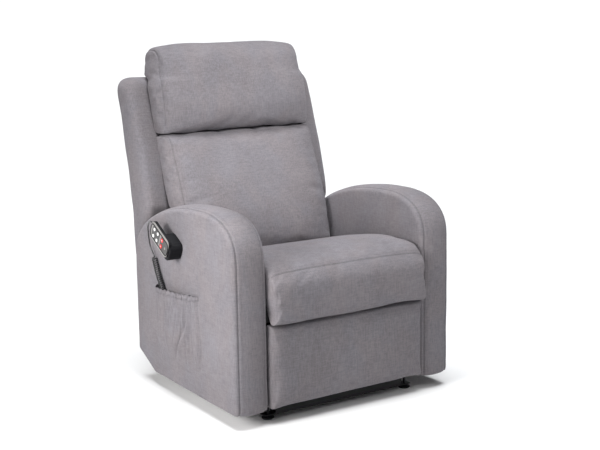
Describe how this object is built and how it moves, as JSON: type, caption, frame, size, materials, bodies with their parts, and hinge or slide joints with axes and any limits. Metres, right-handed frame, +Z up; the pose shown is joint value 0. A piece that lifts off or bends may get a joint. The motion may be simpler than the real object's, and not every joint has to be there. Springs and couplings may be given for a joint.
{
  "type": "lift recliner chair",
  "caption": "Powered lift recliner armchair: floor base, lift linkage, seat carriage with padded arms, reclining back, folding footrest and wired handset.",
  "frame": {"origin": "middle of the whole object's footprint, on the floor", "axes": "+Z up; -Y the way the sitter faces; +X the sitter's left"},
  "size_m": [0.8318, 0.889, 1.083],
  "materials": {
    "upholstery": "woven, matt",
    "black_steel": "satin powder coat",
    "bright_steel": "brushed",
    "timber": "raw sawn",
    "black_plastic": "fine texture",
    "silver_plastic": "satin silver paint",
    "light_plastic": "satin",
    "red_plastic": "satin",
    "lead_rubber": "matt",
    "deck_webbing": "woven webbing"
  },
  "bodies": {
    "base": {"base_rail_left": "black_steel", "base_rail_right": "black_steel", "base_front_tube": "black_steel", "base_rear_tube": "black_steel", "foot_plate_front": "black_steel", "foot_plate_rear": "black_steel", "glide_front_left": "black_plastic", "glide_front_right": "black_plastic", "glide_rear_left": "black_plastic", "glide_rear_right": "black_plastic", "lift_motor_bracket": "black_steel"},
    "lift_links": {"lift_link_left": "black_steel", "lift_link_right": "black_steel", "lift_torque_shaft": "black_steel"},
    "stabiliser_links": {"stabiliser_link_left": "black_steel", "stabiliser_link_right": "black_steel"},
    "lift_motor": {"lift_motor_housing": "black_plastic"},
    "lift_rod": {"lift_motor_rod": "bright_steel"},
    "seat_carriage": {"side_plate_left": "black_steel", "side_plate_right": "black_steel", "carriage_cross_tube": "black_steel", "seat_rail_front": "timber", "seat_rail_rear": "timber", "seat_deck": "deck_webbing", "seat_cushion": "upholstery", "arm_cover_left": "upholstery", "arm_cover_right": "upholstery", "arm_post_left": "timber", "arm_post_right": "timber", "rear_skirt": "upholstery", "side_pocket": "upholstery", "pocket_grommet": "black_plastic", "handset_holder": "black_plastic", "handset_shell": "black_plastic", "handset_face": "silver_plastic", "power_box": "black_plastic", "handset_lead": "lead_rubber", "handset_coil": "lead_rubber"},
    "backrest": {"back_shell": "upholstery", "back_post_left": "timber", "back_post_right": "timber", "back_hinge_shaft": "black_steel", "back_cushion": "upholstery", "head_cushion": "upholstery"},
    "back_motor": {"back_motor_housing": "black_plastic"},
    "back_rod": {"back_motor_rod": "bright_steel"},
    "footrest_links_a": {"footrest_link_a_left": "black_steel", "footrest_link_a_right": "black_steel"},
    "footrest_links_b": {"footrest_link_b_left": "black_steel", "footrest_link_b_right": "black_steel"},
    "footrest_couplers": {"footrest_coupler_left": "black_steel", "footrest_coupler_right": "black_steel"},
    "footrest": {"footrest_panel": "upholstery"},
    "button_back_up": {"button_back_up": "light_plastic"},
    "button_back_down": {"button_back_down": "light_plastic"},
    "button_feet_up": {"button_feet_up": "light_plastic"},
    "button_feet_down": {"button_feet_down": "light_plastic"},
    "button_lift_up": {"button_lift_up": "red_plastic"},
    "button_lift_down": {"button_lift_down": "red_plastic"},
    "button_light": {"button_light": "light_plastic"}
  },
  "joints": [
    {"name": "lift", "type": "hinge", "parent": "base", "child": "lift_links", "pos_m": [0.0259, -0.2845, 0.063], "axis": [1, 0, 0], "range_deg": [0, 70]},
    {"name": "carriage_tilt", "type": "hinge", "parent": "lift_links", "child": "seat_carriage", "pos_m": [0.0259, -0.06534, 0.08217], "axis": [1, 0, 0], "range_deg": [-43.5, 0.5]},
    {"name": "stabiliser_swing", "type": "hinge", "parent": "base", "child": "stabiliser_links", "pos_m": [0.0259, -0.2145, 0.108], "axis": [1, 0, 0], "range_deg": [-0.5, 57.09]},
    {"name": "lift_motor_swing", "type": "hinge", "parent": "base", "child": "lift_motor", "pos_m": [0.0259, 0.2005, 0.088], "axis": [1, 0, 0], "range_deg": [-2, 2]},
    {"name": "lift_rod_travel", "type": "slide", "parent": "lift_motor", "child": "lift_rod", "axis": [0, -0.9973, 0.0741], "range_m": [-0.001, 0.08703]},
    {"name": "recline", "type": "hinge", "parent": "seat_carriage", "child": "backrest", "pos_m": [0.0259, 0.1755, 0.36], "axis": [-1, 0, 0], "range_deg": [0, 37]},
    {"name": "back_motor_swing", "type": "hinge", "parent": "seat_carriage", "child": "back_motor", "pos_m": [0.0259, -0.1345, 0.235], "axis": [1, 0, 0], "range_deg": [-2, 8.88]},
    {"name": "back_rod_travel", "type": "slide", "parent": "back_motor", "child": "back_rod", "axis": [0, 0.9999, -0.0167], "range_m": [-0.07562, 0.001]},
    {"name": "footrest_open", "type": "hinge", "parent": "seat_carriage", "child": "footrest_links_a", "pos_m": [0.0259, -0.2945, 0.265], "axis": [-1, 0, 0], "range_deg": [0, 130]},
    {"name": "footrest_link_b_swing", "type": "hinge", "parent": "seat_carriage", "child": "footrest_links_b", "pos_m": [0.0259, -0.2385, 0.237], "axis": [-1, 0, 0], "range_deg": [-0.5, 130.5]},
    {"name": "footrest_coupler_turn", "type": "hinge", "parent": "footrest_links_a", "child": "footrest_couplers", "pos_m": [0.0259, -0.18265, 0.10527], "axis": [-1, 0, 0], "range_deg": [-130.5, 0.5]},
    {"name": "footrest_panel_turn", "type": "hinge", "parent": "footrest_couplers", "child": "footrest", "pos_m": [0.0259, -0.3765, 0.2], "axis": [-1, 0, 0], "range_deg": [-0.5, 85.5]},
    {"name": "button_back_up_press", "type": "slide", "parent": "seat_carriage", "child": "button_back_up", "axis": [1, 0, 0], "range_m": [0, 0.001], "stiffness_N_per_m": 400, "springref_m": -0.0005},
    {"name": "button_back_down_press", "type": "slide", "parent": "seat_carriage", "child": "button_back_down", "axis": [1, 0, 0], "range_m": [0, 0.001], "stiffness_N_per_m": 400, "springref_m": -0.0005},
    {"name": "button_feet_up_press", "type": "slide", "parent": "seat_carriage", "child": "button_feet_up", "axis": [1, 0, 0], "range_m": [0, 0.001], "stiffness_N_per_m": 400, "springref_m": -0.0005},
    {"name": "button_feet_down_press", "type": "slide", "parent": "seat_carriage", "child": "button_feet_down", "axis": [1, 0, 0], "range_m": [0, 0.001], "stiffness_N_per_m": 400, "springref_m": -0.0005},
    {"name": "button_lift_up_press", "type": "slide", "parent": "seat_carriage", "child": "button_lift_up", "axis": [1, 0, 0], "range_m": [0, 0.001], "stiffness_N_per_m": 400, "springref_m": -0.0005},
    {"name": "button_lift_down_press", "type": "slide", "parent": "seat_carriage", "child": "button_lift_down", "axis": [1, 0, 0], "range_m": [0, 0.001], "stiffness_N_per_m": 400, "springref_m": -0.0005},
    {"name": "button_light_press", "type": "slide", "parent": "seat_carriage", "child": "button_light", "axis": [1, 0, 0], "range_m": [0, 0.001], "stiffness_N_per_m": 400, "springref_m": -0.0005}
  ],
  "couplings": [
    {"joint": "carriage_tilt", "follows": "lift", "ratio": -0.61429},
    {"joint": "stabiliser_swing", "follows": "lift", "ratio": 0.80843},
    {"joint": "lift_motor_swing", "follows": "lift", "ratio": -0.001761},
    {"joint": "lift_rod_travel", "follows": "lift", "m_per_rad": 0.070417},
    {"joint": "back_motor_swing", "follows": "recline", "ratio": 0.21308},
    {"joint": "back_rod_travel", "follows": "recline", "m_per_rad": -0.11555},
    {"joint": "footrest_link_b_swing", "follows": "footrest_open", "ratio": 1},
    {"joint": "footrest_coupler_turn", "follows": "footrest_open", "ratio": -1},
    {"joint": "footrest_panel_turn", "follows": "footrest_open", "ratio": 0.65385}
  ]
}
